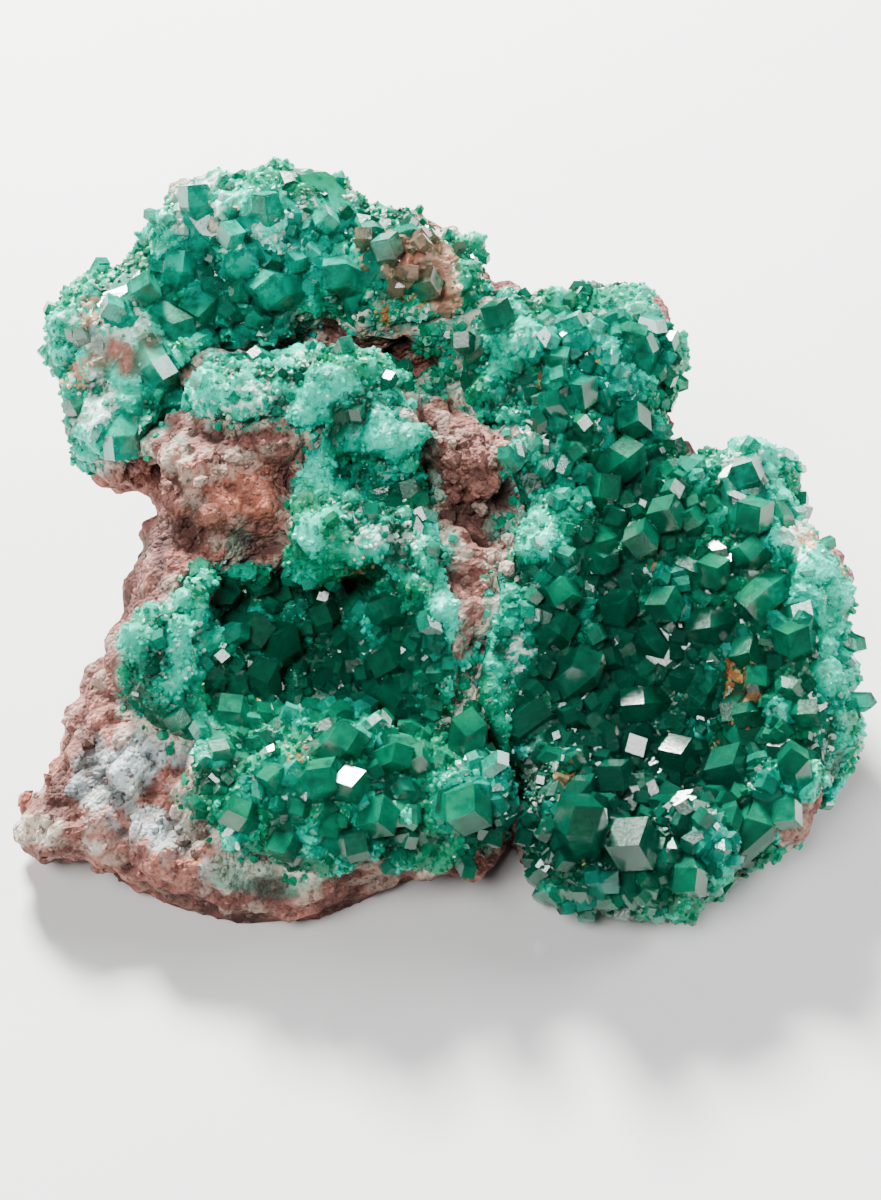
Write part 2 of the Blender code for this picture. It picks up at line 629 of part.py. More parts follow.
def make_crust(rock, skin, name, zone, others, crystals, fill, part, tools):
    """One crust: the skin over the rock inside the zone, fused with its crystals, and clear of the others."""
    crust = bpy.data.objects.new(name, skin.data.copy())
    part.objects.link(crust)
    cut(crust, zone, "INTERSECT", "MANIFOLD")

    surface = search_tree(rock)
    stands = []
    for place, radius, length, lean, spin in crystals:
        point, normal = seen_on(surface, place)
        lean_axis = to_world().to_3x3() @ Vector((lean[0], lean[1], 1.0)).normalized()
        axis = (lean_axis + normal * NORMAL_PULL).normalized()
        stands.append((point, axis, math.radians(spin), radius, length - CRYSTAL_SINK))
    kept_clear = [(point, radius) for point, axis, spin, radius, length in stands]
    stands += scattered(rock, search_tree(zone), kept_clear, *fill)
    walls = [search_tree(other) for other in others]
    for point, axis, spin, radius, length in stands:
        shape = bmesh.new()
        foot = point - axis * CRYSTAL_SINK * MM
        add_crystal(shape, standing(foot, axis, spin), radius, length + CRYSTAL_SINK)
        reach = BVHTree.FromBMesh(shape)
        if any(reach.overlap(wall) for wall in walls):
            shape.free()
            continue
        crystal = object_of(shape, name + "_crystal", tools)
        cut(crust, crystal, "UNION", "MANIFOLD")
        bpy.data.objects.remove(crystal)
    cut(crust, grown(rock, name + "_bed", CRUST_GAP, tools), "DIFFERENCE", "MANIFOLD")
    return largest_body(crust)


def main():
    clear_scene()
    part = collection("dioptase specimen")
    tools = collection("cutters")
    pocket = make_zone("pocket", POCKET_ZONE, (), tools)
    basin = make_zone("basin", BASIN_ZONE, (pocket,), tools)
    backs = make_zone("back", BACK_ZONE, (pocket, basin), tools)
    rock, skin = make_rock((pocket, basin, backs), part, tools)
    rock.data.materials.clear()
    rock.data.materials.append(material("host rock", *BROWN))
    green = material("dioptase", *GREEN)
    crusts = []
    for name, zone, crystals, fill in (
        ("pocket_crystals", pocket, POCKET_CRYSTALS, POCKET_FILL),
        ("basin_crystals", basin, BASIN_CRYSTALS, BASIN_FILL),
        ("back_crystals", backs, BACK_CRYSTALS, BACK_FILL),
    ):
        others = [other for other in (pocket, basin, backs) if other is not zone] + crusts
        crusts.append(make_crust(rock, skin, name, zone, others, crystals, fill, part, tools))
    for crust in crusts:
        crust.data.materials.clear()
        crust.data.materials.append(green)
    for tool in tools.objects:
        tool.hide_render = True
        tool.display_type = "WIRE"


main()
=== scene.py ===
"""A dioptase specimen on a pale floor: red-brown host rock under crusts of emerald green crystals."""

import math

import bpy
import numpy as np
from mathutils import Matrix, Vector


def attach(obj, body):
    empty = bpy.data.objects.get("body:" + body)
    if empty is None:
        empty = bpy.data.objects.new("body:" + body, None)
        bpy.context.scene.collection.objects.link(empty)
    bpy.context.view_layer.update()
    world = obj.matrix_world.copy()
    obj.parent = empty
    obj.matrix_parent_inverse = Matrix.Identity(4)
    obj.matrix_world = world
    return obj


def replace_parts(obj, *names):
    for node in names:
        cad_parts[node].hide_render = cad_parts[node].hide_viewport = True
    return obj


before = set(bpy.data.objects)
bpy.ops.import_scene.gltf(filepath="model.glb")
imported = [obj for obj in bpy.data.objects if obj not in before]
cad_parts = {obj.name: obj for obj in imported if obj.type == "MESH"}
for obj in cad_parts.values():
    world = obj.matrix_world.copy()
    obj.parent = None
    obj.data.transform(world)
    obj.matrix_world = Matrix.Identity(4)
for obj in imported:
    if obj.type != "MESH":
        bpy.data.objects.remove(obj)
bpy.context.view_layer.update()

# The specimen and its eye. It is looked at from 45 degrees above the floor, square on to the face that the
# crystals grow on. Places on that face are millimetres across and up it, as this eye sees them.
MM = 0.001
FACE_LEAN = math.radians(45.0)
FACE_HEIGHT = 16.0
EYE_DISTANCE = 169.5

face_turn = Matrix.Rotation(math.pi / 2 - FACE_LEAN, 4, "X")
face_to_world = Matrix.Translation((0, 0, FACE_HEIGHT * MM)) @ face_turn
world_to_face = np.array(face_to_world.inverted())

eye = bpy.data.cameras.new("eye")
eye.lens = 60.0
eye.sensor_width = 36.0
eye.clip_start = 0.005
eye.clip_end = 5.0
camera = bpy.data.objects.new("eye", eye)
camera.matrix_world = face_to_world @ Matrix.Translation((0, 0, EYE_DISTANCE * MM))
bpy.context.scene.collection.objects.link(camera)
bpy.context.scene.camera = camera


# The floor: a plain pale sheet that runs far out of the picture. A soft window behind and above lights it, two
# weaker cards fill in from the right and from the front, and the sky is dim.
class Field:
    """One output of a material's node, with which Python's operators build Math nodes."""

    def __init__(self, finish, outlet):
        self.finish = finish
        self.outlet = outlet

    def _sum(self, operation, first, second):
        return self.finish.node("ShaderNodeMath", {"operation": operation}, {0: first, 1: second})

    def __add__(self, other):
        return self._sum("ADD", self, other)

    def __radd__(self, other):
        return self._sum("ADD", other, self)

    def __sub__(self, other):
        return self._sum("SUBTRACT", self, other)

    def __rsub__(self, other):
        return self._sum("SUBTRACT", other, self)

    def __mul__(self, other):
        return self._sum("MULTIPLY", self, other)

    def __rmul__(self, other):
        return self._sum("MULTIPLY", other, self)


class Finish:
    """A material in the making: node() adds any node, and surface() sets the shader that shows."""

    def __init__(self, name, **constants):
        self.material = bpy.data.materials.new(name)
        self.material.use_nodes = True
        self.tree = self.material.node_tree
        self.shader = self.tree.nodes["Principled BSDF"]
        for socket, value in constants.items():
            self.shader.inputs[socket.replace("_", " ")].default_value = value

    def feed(self, socket, value):
        if isinstance(value, Field):
            self.tree.links.new(value.outlet, socket)
        else:
            socket.default_value = value

    def node(self, kind, settings=None, inlets=None, outlet=0):
        """A node of this kind, its settings made first and its sockets fed by name or number."""
        made = self.tree.nodes.new(kind)
        for name, value in (settings or {}).items():
            setattr(made, name, value)
        for name, value in (inlets or {}).items():
            self.feed(made.inputs[name], value)
        return Field(self, made.outputs[outlet])

    def mix(self, share, first, second):
        """A blend of two colours, all first at share 0 and all second at share 1."""
        settings = {"data_type": "RGBA", "clamp_factor": True}
        return self.node("ShaderNodeMix", settings, {0: share, 6: first, 7: second}, outlet=2)

    def noise(self, place, scale, detail=3.0, roughness=0.55):
        inlets = {"Vector": place, "Scale": scale, "Detail": detail, "Roughness": roughness}
        return self.node("ShaderNodeTexNoise", None, inlets)

    def surface(self, **fields):
        for socket, value in fields.items():
            self.feed(self.shader.inputs[socket.replace("_", " ")], value)
        return self.material


FLOOR_SIZE = 3.0
floor_finish = Finish("pale_floor", Roughness=0.85)
floor_place = floor_finish.node("ShaderNodeTexCoord", outlet="Object")
floor_grain = floor_finish.noise(floor_place, 40.0, 2.0)
floor_colour = floor_finish.mix(floor_grain, (0.62, 0.62, 0.61, 1.0), (0.66, 0.66, 0.65, 1.0))
floor_finish.surface(Base_Color=floor_colour)

floor_mesh = bpy.data.meshes.new("floor")
half = FLOOR_SIZE / 2
floor_corners = [(-half, -half, 0), (half, -half, 0), (half, half, 0), (-half, half, 0)]
floor_mesh.from_pydata(floor_corners, [], [(0, 1, 2, 3)])
floor_mesh.materials.append(floor_finish.material)
floor = bpy.data.objects.new("floor", floor_mesh)
bpy.context.scene.collection.objects.link(floor)


def soft_light(name, place, aim, size, watts, colour):
    """A square soft light at place, turned to aim at a point."""
    lamp = bpy.data.lights.new(name, "AREA")
    lamp.shape = "SQUARE"
    lamp.size = size
    lamp.energy = watts
    lamp.color = colour
    holder = bpy.data.objects.new(name, lamp)
    back = (Vector(place) - Vector(aim)).normalized()
    holder.matrix_world = Matrix.Translation(place) @ back.to_track_quat("Z", "Y").to_matrix().to_4x4()
    bpy.context.scene.collection.objects.link(holder)


MIDDLE = (0.0, 0.0, 0.018)
soft_light("window", (-0.12, 0.32, 0.33), MIDDLE, 0.12, 16.5, (1.0, 0.99, 0.97))
soft_light("side_card", (0.40, 0.06, 0.30), MIDDLE, 0.20, 2.6, (0.97, 0.99, 1.0))
soft_light("front_card", (-0.16, -0.26, 0.44), MIDDLE, 0.20, 3.6, (1.0, 1.0, 1.0))
sky = bpy.data.worlds.new("sky")
bpy.context.scene.world = sky
sky.use_nodes = True
sky.node_tree.nodes["Background"].inputs["Color"].default_value = (0.93, 0.96, 1.0, 1.0)
sky.node_tree.nodes["Background"].inputs["Strength"].default_value = 0.08


# The host rock: a broken lump of iron-stained matrix, with its plateau and knobs bare and granular. Its surface is
# the solid's own, worked finer, with blocks, grains and pits pushed in and out of it; its flat base is left alone.
def gradient_noise(points, seed):
    """Perlin's noise: at the eight corners of each unit cell, a fixed random slope dotted with the way from the
    corner to the point, blended by the fifth-degree ease curve 6t^5 - 15t^4 + 10t^3 along each axis."""
    draw = np.random.default_rng(seed)
    order = np.concatenate([draw.permutation(256)] * 3)
    slopes = draw.normal(size=(256, 3))
    slopes /= np.linalg.norm(slopes, axis=1)[:, None]
    cell = np.floor(points).astype(int)
    inner = points - cell
    ease = inner ** 3 * (inner * (inner * 6 - 15) + 10)
    total = np.zeros(len(points))
    for corner in np.ndindex(2, 2, 2):
        at = (cell + corner) & 255
        slope = slopes[order[order[order[at[:, 0]] + at[:, 1]] + at[:, 2]]]
        share = np.where(corner, ease, 1 - ease).prod(axis=1)
        total += share * (slope * (inner - corner)).sum(axis=1)
    return total


def layered_noise(points, wave, octaves, seed):
    """A sum of gradient noises, each at half the wavelength and half the height of the one before."""
    total = np.zeros(len(points))
    for octave in range(octaves):
        total += gradient_noise(points * (2 ** octave / wave), seed + octave) / 2 ** octave
    return total


def cells_around(points, size, order):
    """The 27 cells of a lattice of this size around each point: the points in cell sizes, the corner of the cell,
    and its number from 0 to 255, looked up three times in the shuffled order."""
    scaled = points / size
    cell = np.floor(scaled).astype(int)
    for step in np.ndindex(3, 3, 3):
        corner = cell + np.array(step) - 1
        mark = corner & 255
        yield scaled, corner, order[order[order[mark[:, 0]] + mark[:, 1]] + mark[:, 2]]


def grain_values(points, size, seed):
    """A value from 0 to 1 that is the same all over a grain: the random one of the nearest point of a jittered
    lattice of this size."""
    draw = np.random.default_rng(seed)
    order = np.concatenate([draw.permutation(256)] * 3)
    jitter = draw.random((256, 3))
    own = draw.random(256)
    nearest = np.full(len(points), 9.0)
    value = np.zeros(len(points))
    for scaled, corner, key in cells_around(points, size, order):
        far = np.linalg.norm(scaled - (corner + jitter[key]), axis=1)
        value = np.where(far < nearest, own[key], value)
        nearest = np.minimum(nearest, far)
    return value


def points_of(mesh):
    flat = np.empty(len(mesh.vertices) * 3, dtype=np.float32)
    mesh.vertices.foreach_get("co", flat)
    return flat.reshape(-1, 3).astype(float) / MM


def normals_of(mesh):
    flat = np.empty(len(mesh.vertices) * 3, dtype=np.float32)
    mesh.vertices.foreach_get("normal", flat)
    return flat.reshape(-1, 3).astype(float)


def move_points(mesh, points):
    mesh.vertices.foreach_set("co", (points * MM).astype(np.float32).ravel())
    mesh.update()


def seen_places(points):
    """Where the eye sees points on the face: their places in the face's frame, times d / (d - w) for the eye's
    distance d and the point's height w out of the face."""
    local = (points * MM @ world_to_face[:3, :3].T + world_to_face[:3, 3]) / MM
    nearer = EYE_DISTANCE / (EYE_DISTANCE - local[:, 2])
    return local[:, :2] * nearer[:, None]


def patches(places, spots, blur, seed):
    """How far each place lies in a list of patches (x, y, half width, half height, strength): one less the squared
    distance in half sizes, with the border made ragged by noise, and the strongest patch counting."""
    flat = np.column_stack([places, np.full(len(places), seed * 7.7)])
    ragged = layered_noise(flat, 3.2, 4, seed) * blur
    best = np.zeros(len(places))
    for x, y, wide, high, strength in spots:
        near = 1 - ((places[:, 0] - x) / wide) ** 2 - ((places[:, 1] - y) / high) ** 2
        best = np.maximum(best, strength * np.clip((near + ragged) * 1.6, 0, 1))
    return best


def blended(colours, share, colour):
    return colours + (np.array(colour) - colours) * np.clip(share, 0, 1)[:, None]


def put_colours(mesh, name, colours):
    layer = mesh.color_attributes.new(name, "FLOAT_COLOR", "POINT")
    layer.data.foreach_set("color", np.column_stack([colours, np.ones(len(colours))]).ravel())


def placed(name, mesh, finish):
    mesh.materials.clear()
    mesh.materials.append(finish.material)
    piece = bpy.data.objects.new(name, mesh)
    bpy.context.scene.collection.objects.link(piece)
    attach(piece, "root")
    return piece


def merged_copy(node):
    """An object with a CAD node's mesh, its loose triangles joined along their edges."""
    thing = bpy.data.objects.new(node + "_copy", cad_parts[node].data.copy())
    bpy.context.scene.collection.objects.link(thing)
    weld = thing.modifiers.new("Weld", "WELD")
    weld.merge_threshold = 0.000001
    return thing


def fine_copy(node, grain):
    """A CAD node's mesh worked at a finer grain."""
    thing = merged_copy(node)
    fine = thing.modifiers.new("Fine", "REMESH")
    fine.mode = "VOXEL"
    fine.voxel_size = grain * MM
    return baked(thing)


def baked(thing):
    graph = bpy.context.evaluated_depsgraph_get()
    mesh = bpy.data.meshes.new_from_object(thing.evaluated_get(graph))
    bpy.data.objects.remove(thing)
    return mesh


def nearest_places(mesh, target):
    """For each point of a mesh, the nearest place on the faces of the target mesh, and how far away that is."""
    group = bpy.data.node_groups.new("nearest", "GeometryNodeTree")
    group.interface.new_socket("Geometry", in_out="INPUT", socket_type="NodeSocketGeometry")
    group.interface.new_socket("Geometry", in_out="OUTPUT", socket_type="NodeSocketGeometry")
    asked = bpy.data.objects.new("asked", mesh.copy())
    other = bpy.data.objects.new("other", target)
    for thing in (asked, other):
        bpy.context.scene.collection.objects.link(thing)
    start = group.nodes.new("NodeGroupInput")
    end = group.nodes.new("NodeGroupOutput")
    fetch = group.nodes.new("GeometryNodeObjectInfo")
    fetch.inputs["Object"].default_value = other
    near = group.nodes.new("GeometryNodeProximity")
    near.target_element = "FACES"
    move = group.nodes.new("GeometryNodeSetPosition")
    group.links.new(fetch.outputs["Geometry"], near.inputs[0])
    group.links.new(start.outputs["Geometry"], move.inputs["Geometry"])
    group.links.new(near.outputs["Position"], move.inputs["Position"])
    group.links.new(move.outputs["Geometry"], end.inputs["Geometry"])
    step = asked.modifiers.new("Nearest", "NODES")
    step.node_group = group
    places = points_of(baked(asked))
    bpy.data.objects.remove(other)
    return places, np.linalg.norm(places - points_of(mesh), axis=1)


def facets(points, size, steep, seed):
    """The height of facetted growths: each point of a jittered lattice bears a six-sided pyramid turned at random,
    own height less steep times the largest of the three distances along its axes, and the tallest one counts."""
    draw = np.random.default_rng(seed)
    order = np.concatenate([draw.permutation(256)] * 3)
    jitter = draw.random((256, 3))
    own = draw.random(256)
    turns = np.linalg.qr(draw.normal(size=(256, 3, 3)))[0]
    best = np.full(len(points), -9.0)
    value = np.zeros(len(points))
    for scaled, corner, key in cells_around(points, size, order):
        away = scaled - (corner + jitter[key])
        along = np.abs(np.einsum("nij,nj->ni", turns[key], away)).max(axis=1)
        height = own[key] - steep * along
        value = np.where(height > best, own[key], value)
        best = np.maximum(best, height)
    return best * size, value


ROCK_GRAIN = 0.42
BASE_KEEP = (0.25, 1.8)
# Relief: blocks and chips by size, steepness and share of their height, swells by wavelength and height, and pits
# by wavelength, the noise they start from, and depth.
BLOCKS = (2.6, 0.9, 0.75)
CHIPS = (1.1, 0.9, 0.6)
SWELLS = (5.5, 0.7)
PITS = (1.9, 0.16, 1.5)
SAND_SIZE = 0.6
BROWN = (0.230, 0.082, 0.060)
DARK_BROWN = (0.090, 0.034, 0.028)
RUST = (0.40, 0.120, 0.070)
PINK_BROWN = (0.38, 0.165, 0.130)
PALE_CRUST = (0.40, 0.50, 0.50)
CREAM = (0.66, 0.60, 0.48)
GREEN_FILM = (0.00, 0.24, 0.17)
# Painted shade: the near black laid into the rock's pits and the gaps between its blocks.
PIT_SHADE = (0.030, 0.014, 0.012)
# How far from a crust its green film and its pale grains may lie on the rock.
STAIN_REACH = 4.0
WEDGE_PALE = (
    (-27.0, -14.5, 4.5, 4.5, 0.9), (-24.0, -19.0, 6.0, 3.5, 0.75), (-22.0, -11.0, 3.0, 4.0, 0.8),
    (-17.5, -20.5, 4.0, 3.0, 0.6),
)
WEDGE_CREAM = (
    (-19.0, -19.0, 3.5, 3.0, 0.8), (-16.5, -22.5, 4.0, 2.5, 0.7), (-19.6, -17.2, 1.2, 1.2, 1.0),
    (-13.5, -23.5, 3.5, 1.8, 0.6), (-28.0, -20.5, 4.0, 1.4, 0.5), (-33.5, -19.5, 2.5, 1.4, 0.7),
    (-20.5, 8.6, 2.6, 4.0, 0.35), (-22.4, 12.0, 1.8, 1.8, 0.5), (-17.5, 3.4, 3.0, 1.6, 0.5),
)
RUST_SPOTS = (
    (-16.2, 9.0, 3.4, 3.0, 0.6), (-20.8, 6.0, 2.2, 3.0, 0.35), (-19.0, -22.0, 1.8, 1.4, 0.8),
    (-15.0, -19.6, 1.2, 1.2, 0.8), (-26.0, -12.0, 1.5, 2.5, 0.4), (-1.0, 24.0, 4.0, 2.5, 0.6),
    (-22.5, -21.5, 1.8, 1.0, 0.7),
)
GREEN_FILM_SPOTS = (
    (-14.0, -22.5, 6.0, 2.6, 0.6), (-24.0, -7.5, 3.0, 4.0, 0.4), (-22.5, 12.5, 1.6, 1.6, 0.6),
    (-17.0, 5.0, 1.2, 1.0, 0.5), (0.2, 21.0, 2.8, 4.4, 1.0), (3.2, -7.4, 2.4, 3.8, 1.0),
    (5.4, 6.4, 1.6, 1.6, 0.8),
)
# Dark brown patches: on the knobs the rock's own dark brown, and along the wedge's bottom edge painted shade.
DARK_BROWN_AND_SHADE_PATCHES = (
    (-14.6, 12.4, 3.6, 2.2, 0.5), (1.2, 10.4, 4.5, 4.0, 0.4), (4.4, 4.0, 3.0, 3.0, 0.5),
    (-11.0, -24.5, 9.0, 1.8, 0.5),
)
# Lumps and holes on the wedge: place, radius, and how far each stands out.
WEDGE_MARKS = (
    (-19.2, -16.9, 1.5, 1.0), (-20.2, -19.6, 0.8, -1.1), (-22.4, -16.4, 1.1, 0.5), (-17.0, -20.9, 1.0, 0.6),
    (-15.3, -22.9, 1.2, 0.6), (-12.4, -22.4, 1.0, 0.5), (-23.6, -13.0, 0.8, 0.4), (-18.2, -22.6, 0.6, -0.8),
)


def stood_out(places, marks):
    """The push of round marks (x, y, radius, height): height times (1 - d^2)^2, for the distance d in radii."""
    total = np.zeros(len(places))
    for x, y, radius, height in marks:
        near = np.clip(1 - ((places[:, 0] - x) ** 2 + (places[:, 1] - y) ** 2) / radius ** 2, 0, 1)
        total += height * near ** 2
    return total


CRUSTS = ("pocket_crystals", "basin_crystals", "back_crystals")
rock_mesh = fine_copy("host_rock", ROCK_GRAIN)
rock_points = points_of(rock_mesh)
rock_normals = normals_of(rock_mesh)
rock_places = seen_places(rock_points)
facing = rock_normals @ world_to_face[2, :3]
lifted = np.clip((rock_points[:, 2] - BASE_KEEP[0]) / (BASE_KEEP[1] - BASE_KEEP[0]), 0, 1)
blocks, block_own = facets(rock_points, BLOCKS[0], BLOCKS[1], 9)
chips, chip_own = facets(rock_points, CHIPS[0], CHIPS[1], 10)
push = layered_noise(rock_points, SWELLS[0], 2, 3) * SWELLS[1]
push += BLOCKS[2] * (blocks - blocks.mean()) + CHIPS[2] * (chips - chips.mean())
push -= np.clip(layered_noise(rock_points, PITS[0], 2, 13) - PITS[1], 0, 1) * PITS[2]
push += stood_out(rock_places, WEDGE_MARKS) * (facing > 0.1)
rock_points += rock_normals * (push * lifted)[:, None]
rock_points[:, 2] = np.maximum(rock_points[:, 2], 0.0)
move_points(rock_mesh, rock_points)

crust_away = np.min([nearest_places(rock_mesh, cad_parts[crust].data)[1] for crust in CRUSTS], axis=0)
sand_own = grain_values(rock_points, SAND_SIZE, 27)
mottle = layered_noise(rock_points, 3.0, 3, 21)
fleck = layered_noise(rock_points, 0.9, 3, 25)
stream = layered_noise(rock_points, 9.0, 4, 23)
rock_colours = np.tile(np.array(BROWN), (len(rock_points), 1))
rock_colours = blended(rock_colours, np.clip(0.45 + 2.6 * mottle, 0, 1) * 0.8, PINK_BROWN)
rock_colours = blended(rock_colours, np.clip(2.2 * fleck, 0, 1) * 0.7, DARK_BROWN)
rock_colours = blended(rock_colours, (block_own > 0.9) * 0.45, DARK_BROWN)
rock_colours = blended(rock_colours, (stream * 2.4 + 0.25) * (0.55 - 0.45 * facing), DARK_BROWN)
rock_colours = blended(rock_colours, (-stream * 2.0 - 0.2) * (0.5 - 0.5 * facing), RUST)
# Darker in patches: the knobs' own dark brown, and painted shade along the bottom edge.
dark_and_shade_share = patches(rock_places, DARK_BROWN_AND_SHADE_PATCHES, 1.2, 30) * (facing > -0.2)
rock_colours = blended(rock_colours, dark_and_shade_share, DARK_BROWN)
rock_colours = blended(rock_colours, patches(rock_places, RUST_SPOTS, 1.2, 31) * (facing > -0.2), RUST)
pale_share = patches(rock_places, WEDGE_PALE, 1.6, 32) * 1.8 - 0.9 * sand_own
rock_colours = blended(rock_colours, pale_share * (facing > -0.2), PALE_CRUST)
cream_share = patches(rock_places, WEDGE_CREAM, 1.8, 33) * 1.8 - 1.0 * sand_own
rock_colours = blended(rock_colours, cream_share * (facing > -0.3), CREAM)
film_share = patches(rock_places, GREEN_FILM_SPOTS, 1.8, 34) * (crust_away < STAIN_REACH)
rock_colours = blended(rock_colours, film_share, GREEN_FILM)
rock_colours *= (0.7 + 0.6 * sand_own)[:, None]
rock_colours = blended(rock_colours, (chip_own > 0.97) * (facing > -0.1) * 0.25, CREAM)
rock_colours = blended(rock_colours, 1.2 - crust_away / 1.2 + fleck * 1.5, CREAM)
rock_colours = blended(rock_colours, (sand_own < 0.5) * (1.3 - crust_away / 1.2 + fleck), GREEN_FILM)
# Painted shade: the rock is darkened towards near black where it is pushed in, in its pits and between its blocks.
rock_colours = blended(rock_colours, np.clip(0.3 - push * 1.1, 0, 1) ** 2 * 0.8, PIT_SHADE)
rock_colours = np.clip(rock_colours, 0, 1)
put_colours(rock_mesh, "stain", rock_colours)

rock_finish = Finish("host_rock", Specular_IOR_Level=0.3)
stone_place = rock_finish.node("ShaderNodeTexCoord", outlet="Object")
stain = rock_finish.node("ShaderNodeAttribute", {"attribute_name": "stain"}, outlet="Color")
speck = rock_finish.noise(stone_place, 3000.0, 4.0, 0.75)
blotch = rock_finish.noise(stone_place, 900.0, 5.0, 0.65)
grit_inlets = {"Vector": stone_place, "Scale": 2600.0}
grit_cells = rock_finish.node("ShaderNodeTexVoronoi", {"feature": "F1"}, grit_inlets)
grit_tones = rock_finish.node("ShaderNodeTexVoronoi", {"feature": "F1"}, grit_inlets, outlet="Color")
grit_tone = rock_finish.node("ShaderNodeSeparateColor", None, {"Color": grit_tones})
darker = rock_finish.mix((speck - 0.5) * 3.0 + (0.32 - grit_tone) * 2.0, stain, (0.045, 0.018, 0.014, 1.0))
lighter = rock_finish.mix((grit_tone - 0.88) * 3.0, darker, (0.46, 0.27, 0.21, 1.0))
stone_height = (1.0 - grit_cells) * 0.6 + speck * 0.25 + blotch * 0.5
stone_inlets = {"Strength": 1.0, "Distance": 0.0004, "Height": stone_height}
stone_bump = rock_finish.node("ShaderNodeBump", None, stone_inlets)
rock_finish.surface(Base_Color=lighter, Roughness=0.62 + 0.3 * blotch, Normal=stone_bump)
rock = placed("host_rock_surface", rock_mesh, rock_finish)
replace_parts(rock, "host_rock")


# The crumbs: angular grains and small blocks of the same brown rock, broken loose and still sticking to its plateau
# and knobs. Each is a block of twelve corners, stretched and turned at random and half sunk.
CRUMB_SPOTS = (
    (-14.4, 12.6, 5.0, 3.0, 1.0), (-19.5, 7.5, 5.0, 5.0, 0.35), (1.4, 10.6, 5.0, 4.4, 1.0),
    (4.6, 3.6, 3.0, 4.0, 1.0), (-5.7, 7.4, 1.6, 1.6, 0.8), (-28.0, -16.0, 9.0, 8.0, 0.25),
    (-18.0, -20.0, 6.0, 4.0, 0.7),
)
CRUMBS_PER_MM2 = 1.1
CRUMB_RADII = (0.22, 1.0)


def sown(draw, corners, normals, weights, wanted):
    """Points drawn evenly over triangles, by weight and then by the square root rule inside each, with the normal
    and the number of each one's triangle."""
    picked = draw.choice(len(weights), wanted, p=weights / weights.sum())
    root = np.sqrt(draw.random(wanted))[:, None]
    along = draw.random(wanted)[:, None]
    a, b, c = corners[picked, 0], corners[picked, 1], corners[picked, 2]
    return a * (1 - root) + b * root * (1 - along) + c * root * along, normals[picked], picked


def triangles_of(mesh):
    """A mesh's triangles: the numbers of their corners, their corner points, unit normals and areas."""
    mesh.calc_loop_triangles()
    ends = np.empty(len(mesh.loop_triangles) * 3, dtype=np.int32)
    mesh.loop_triangles.foreach_get("vertices", ends)
    ends = ends.reshape(-1, 3)
    corners = points_of(mesh)[ends]
    normals = np.cross(corners[:, 1] - corners[:, 0], corners[:, 2] - corners[:, 0])
    doubled = np.linalg.norm(normals, axis=1)
    return ends, corners, normals / np.maximum(doubled, 1e-12)[:, None], doubled / 2


def mesh_of(name, points, triangles):
    mesh = bpy.data.meshes.new(name)
    mesh.vertices.add(len(points))
    mesh.vertices.foreach_set("co", (points * MM).astype(np.float32).ravel())
    mesh.loops.add(len(triangles) * 3)
    mesh.loops.foreach_set("vertex_index", triangles.ravel().astype(np.int32))
    mesh.polygons.add(len(triangles))
    mesh.polygons.foreach_set("loop_start", np.arange(0, len(triangles) * 3, 3, dtype=np.int32))
    mesh.update(calc_edges=True)
    return mesh


def blocks_at(name, places, radii, draw):
    """Angular blocks as one mesh: the twelve corners of an icosahedron, each pushed in or out by up to a fifth,
    stretched along three axes and turned by a random rotation."""
    golden = (1 + math.sqrt(5)) / 2
    corners = np.array([(-1, golden, 0), (1, golden, 0), (-1, -golden, 0), (1, -golden, 0)])
    corners = np.concatenate([corners, np.roll(corners, 1, axis=1), np.roll(corners, 2, axis=1)])
    corners = corners / np.linalg.norm(corners[0])
    gaps = np.linalg.norm(corners[:, None] - corners[None], axis=2)
    near = (gaps > 0) & (gaps < 1.1)
    faces = [
        (i, j, k) for i in range(12) for j in range(i + 1, 12) for k in range(j + 1, 12)
        if near[i, j] and near[j, k] and near[i, k]
    ]
    faces = np.array(faces)
    sides = corners[faces]
    turned = np.cross(sides[:, 1] - sides[:, 0], sides[:, 2] - sides[:, 0])
    outward = (turned * sides.mean(axis=1)).sum(axis=1) > 0
    faces = np.where(outward[:, None], faces, faces[:, ::-1])
    count = len(places)
    shapes = corners[None] * draw.uniform(0.8, 1.2, (count, 12, 1)) * draw.uniform(0.6, 1.25, (count, 1, 3))
    turns = np.linalg.qr(draw.normal(size=(count, 3, 3)))[0]
    turns *= np.linalg.det(turns)[:, None, None]
    points = places[:, None] + np.einsum("nij,nkj->nki", turns, shapes) * radii[:, None, None]
    triangles = (faces[None] + np.arange(count)[:, None, None] * 12).reshape(-1, 3)
    return mesh_of(name, points.reshape(-1, 3), triangles)


crumb_draw = np.random.default_rng(77)
rock_ends, rock_corners, rock_ways, rock_areas = triangles_of(rock_mesh)
rock_middles = seen_places(rock_corners.mean(axis=1))
off_base = rock_corners[:, :, 2].min(axis=1) > BASE_KEEP[1]
crumb_weights = patches(rock_middles, CRUMB_SPOTS, 0.8, 61) * rock_areas * CRUMBS_PER_MM2
crumb_weights *= (rock_ways @ world_to_face[2, :3] > 0.1) & off_base
crumb_weights *= crust_away[rock_ends].mean(axis=1) > 0.35
crumb_count = int(crumb_weights.sum())
crumb_places, _, crumb_from = sown(crumb_draw, rock_corners, rock_ways, crumb_weights, crumb_count)
crumb_radii = CRUMB_RADII[0] * (CRUMB_RADII[1] / CRUMB_RADII[0]) ** crumb_draw.random(crumb_count) ** 2.2
crumb_mesh = blocks_at("rock_crumbs", crumb_places, crumb_radii, crumb_draw)
crumb_mesh.shade_flat()
crumb_tones = rock_colours[rock_ends[crumb_from, 0]] * crumb_draw.uniform(0.55, 1.3, (crumb_count, 1))
put_colours(crumb_mesh, "stain", np.repeat(np.clip(crumb_tones, 0, 1), 12, axis=0))
placed("rock_crumbs", crumb_mesh, rock_finish)


